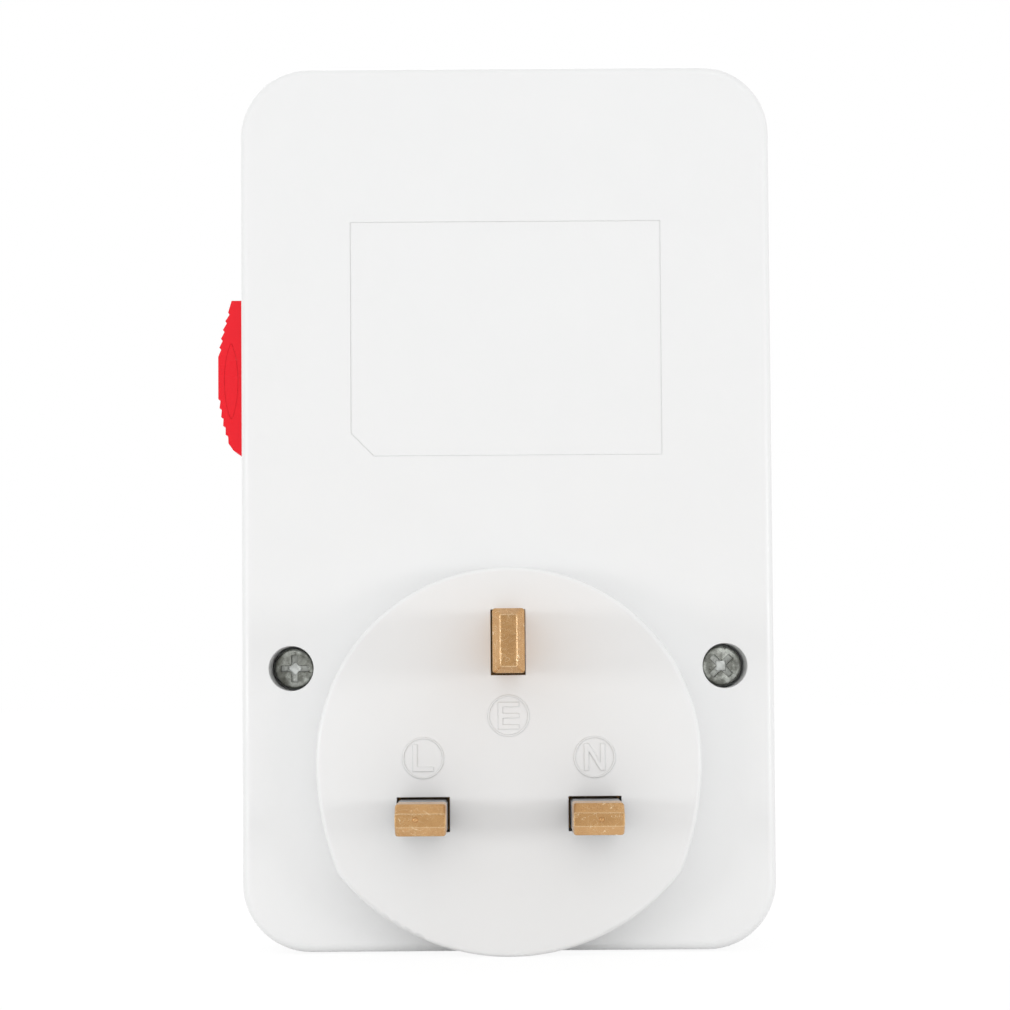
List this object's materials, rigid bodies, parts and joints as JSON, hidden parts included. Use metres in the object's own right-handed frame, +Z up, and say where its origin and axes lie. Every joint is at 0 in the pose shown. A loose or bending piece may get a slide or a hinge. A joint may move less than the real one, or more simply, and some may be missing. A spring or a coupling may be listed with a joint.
{
  "type": "plug-in mechanical timer",
  "caption": "Plug-in 24 hour mechanical timer: a white case with a three-pin plug boss behind, a segment dial and a socket outlet in front, and a red override lever.",
  "frame": {"origin": "centre of the round plug boss, on the flat face that meets the wall socket", "axes": "+X to the right facing the timer, +Y into the wall along the pins, +Z up"},
  "size_m": [0.074, 0.0692, 0.1169],
  "materials": {
    "case_plastic": "moulded white plastic, semi-gloss",
    "brass": "machined and tumbled",
    "sleeve_plastic": "moulded black",
    "plated_steel": "zinc plated",
    "sheet_steel": "pressed sheet",
    "coil_winding": "enamelled wire",
    "magnet": "dark sintered",
    "switch_plastic": "moulded",
    "gear_plastic": "natural moulded",
    "dial_plastic": "moulded",
    "dial_print": "printed",
    "red_plastic": "moulded",
    "lead_sleeving": "sleeved wire"
  },
  "bodies": {
    "case": {"rear_cover": "case_plastic", "front_cover": "case_plastic", "line_pin": "brass", "neutral_pin": "brass", "earth_pin": "brass", "pin_sleeves": "sleeve_plastic", "case_screws": "plated_steel", "mechanism_plate": "sheet_steel", "plate_screws": "plated_steel", "dial_arbor": "plated_steel", "idler_arbor": "plated_steel", "motor_can": "sheet_steel", "motor_cover": "sheet_steel", "motor_coil": "coil_winding", "switch_body": "switch_plastic", "follower_pin": "plated_steel", "earth_contact": "brass", "neutral_contact": "brass", "line_contact": "brass", "feed_strip": "brass", "load_strip": "brass", "motor_leads": "lead_sleeving", "shutter_spring": "plated_steel"},
    "dial": {"dial": "dial_plastic", "dial_face": "dial_print", "dial_cap": "dial_plastic", "dial_gear": "gear_plastic", "clutch_washer": "plated_steel"},
    "idler": {"idler_gear": "gear_plastic"},
    "drive_pinion": {"drive_pinion": "gear_plastic"},
    "rotor": {"motor_rotor": "magnet"},
    "follower": {"cam_follower": "gear_plastic"},
    "button": {"switch_button": "gear_plastic"},
    "lever": {"override_lever": "red_plastic"},
    "shutter": {"shutter": "gear_plastic"},
    "segments_00": {"segments_00": "red_plastic"},
    "segments_01": {"segments_01": "red_plastic"},
    "segments_02": {"segments_02": "red_plastic"},
    "segments_03": {"segments_03": "red_plastic"},
    "segments_04": {"segments_04": "red_plastic"},
    "segments_05": {"segments_05": "red_plastic"},
    "segments_06": {"segments_06": "red_plastic"},
    "segments_07": {"segments_07": "red_plastic"},
    "segments_08": {"segments_08": "red_plastic"},
    "segments_09": {"segments_09": "red_plastic"},
    "segments_10": {"segments_10": "red_plastic"},
    "segments_11": {"segments_11": "red_plastic"},
    "segments_12": {"segments_12": "red_plastic"},
    "segments_13": {"segments_13": "red_plastic"},
    "segments_14": {"segments_14": "red_plastic"},
    "segments_15": {"segments_15": "red_plastic"},
    "segments_16": {"segments_16": "red_plastic"},
    "segments_17": {"segments_17": "red_plastic"},
    "segments_18": {"segments_18": "red_plastic"},
    "segments_19": {"segments_19": "red_plastic"},
    "segments_20": {"segments_20": "red_plastic"},
    "segments_21": {"segments_21": "red_plastic"},
    "segments_22": {"segments_22": "red_plastic"},
    "segments_23": {"segments_23": "red_plastic"}
  },
  "joints": [
    {"name": "dial_spin", "type": "hinge", "parent": "case", "child": "dial", "pos_m": [0, -0.0438, 0.057], "axis": [0, 1, 0], "continuous": true},
    {"name": "lever_swing", "type": "hinge", "parent": "case", "child": "lever", "pos_m": [0.0122, -0.0202, 0.0515], "axis": [0, 1, 0], "range_deg": [0, 10]},
    {"name": "idler_spin", "type": "hinge", "parent": "case", "child": "idler", "pos_m": [-0.01426, -0.0275, 0.04274], "axis": [0, 1, 0], "continuous": true},
    {"name": "drive_spin", "type": "hinge", "parent": "case", "child": "drive_pinion", "pos_m": [-0.01676, -0.0275, 0.05693], "axis": [0, 1, 0], "continuous": true},
    {"name": "rotor_spin", "type": "hinge", "parent": "case", "child": "rotor", "pos_m": [-0.01141, -0.012, 0.06233], "axis": [0, 1, 0], "continuous": true},
    {"name": "follower_swing", "type": "hinge", "parent": "case", "child": "follower", "pos_m": [0.01676, -0.027, 0.02542], "axis": [-1, 0, 0], "range_deg": [-12, 0]},
    {"name": "button_slide", "type": "slide", "parent": "case", "child": "button", "axis": [0, 1, 0], "range_m": [-0.001, 0], "stiffness_N_per_m": 200, "springref_m": -0.003},
    {"name": "shutter_slide", "type": "slide", "parent": "case", "child": "shutter", "axis": [0, 0, -1], "range_m": [0, 0.0065], "stiffness_N_per_m": 60, "springref_m": -0.004, "deforming": ["shutter_spring"]},
    {"name": "push_00", "type": "slide", "parent": "dial", "child": "segments_00", "axis": [0, 1, 0], "range_m": [0, 0.003]},
    {"name": "push_01", "type": "slide", "parent": "dial", "child": "segments_01", "axis": [0, 1, 0], "range_m": [0, 0.003]},
    {"name": "push_02", "type": "slide", "parent": "dial", "child": "segments_02", "axis": [0, 1, 0], "range_m": [0, 0.003]},
    {"name": "push_03", "type": "slide", "parent": "dial", "child": "segments_03", "axis": [0, 1, 0], "range_m": [0, 0.003]},
    {"name": "push_04", "type": "slide", "parent": "dial", "child": "segments_04", "axis": [0, 1, 0], "range_m": [0, 0.003]},
    {"name": "push_05", "type": "slide", "parent": "dial", "child": "segments_05", "axis": [0, 1, 0], "range_m": [0, 0.003]},
    {"name": "push_06", "type": "slide", "parent": "dial", "child": "segments_06", "axis": [0, 1, 0], "range_m": [0, 0.003]},
    {"name": "push_07", "type": "slide", "parent": "dial", "child": "segments_07", "axis": [0, 1, 0], "range_m": [0, 0.003]},
    {"name": "push_08", "type": "slide", "parent": "dial", "child": "segments_08", "axis": [0, 1, 0], "range_m": [0, 0.003]},
    {"name": "push_09", "type": "slide", "parent": "dial", "child": "segments_09", "axis": [0, 1, 0], "range_m": [0, 0.003]},
    {"name": "push_10", "type": "slide", "parent": "dial", "child": "segments_10", "axis": [0, 1, 0], "range_m": [0, 0.003]},
    {"name": "push_11", "type": "slide", "parent": "dial", "child": "segments_11", "axis": [0, 1, 0], "range_m": [0, 0.003]},
    {"name": "push_12", "type": "slide", "parent": "dial", "child": "segments_12", "axis": [0, 1, 0], "range_m": [0, 0.003]},
    {"name": "push_13", "type": "slide", "parent": "dial", "child": "segments_13", "axis": [0, 1, 0], "range_m": [0, 0.003]},
    {"name": "push_14", "type": "slide", "parent": "dial", "child": "segments_14", "axis": [0, 1, 0], "range_m": [0, 0.003]},
    {"name": "push_15", "type": "slide", "parent": "dial", "child": "segments_15", "axis": [0, 1, 0], "range_m": [0, 0.003]},
    {"name": "push_16", "type": "slide", "parent": "dial", "child": "segments_16", "axis": [0, 1, 0], "range_m": [0, 0.003]},
    {"name": "push_17", "type": "slide", "parent": "dial", "child": "segments_17", "axis": [0, 1, 0], "range_m": [0, 0.003]},
    {"name": "push_18", "type": "slide", "parent": "dial", "child": "segments_18", "axis": [0, 1, 0], "range_m": [0, 0.003]},
    {"name": "push_19", "type": "slide", "parent": "dial", "child": "segments_19", "axis": [0, 1, 0], "range_m": [0, 0.003]},
    {"name": "push_20", "type": "slide", "parent": "dial", "child": "segments_20", "axis": [0, 1, 0], "range_m": [0, 0.003]},
    {"name": "push_21", "type": "slide", "parent": "dial", "child": "segments_21", "axis": [0, 1, 0], "range_m": [0, 0.003]},
    {"name": "push_22", "type": "slide", "parent": "dial", "child": "segments_22", "axis": [0, 1, 0], "range_m": [0, 0.003]},
    {"name": "push_23", "type": "slide", "parent": "dial", "child": "segments_23", "axis": [0, 1, 0], "range_m": [0, 0.003]}
  ],
  "couplings": [
    {"joint": "idler_spin", "follows": "dial_spin", "ratio": -6},
    {"joint": "drive_spin", "follows": "dial_spin", "ratio": 24},
    {"joint": "follower_swing", "follows": "button_slide", "rad_per_m": 209.44}
  ]
}
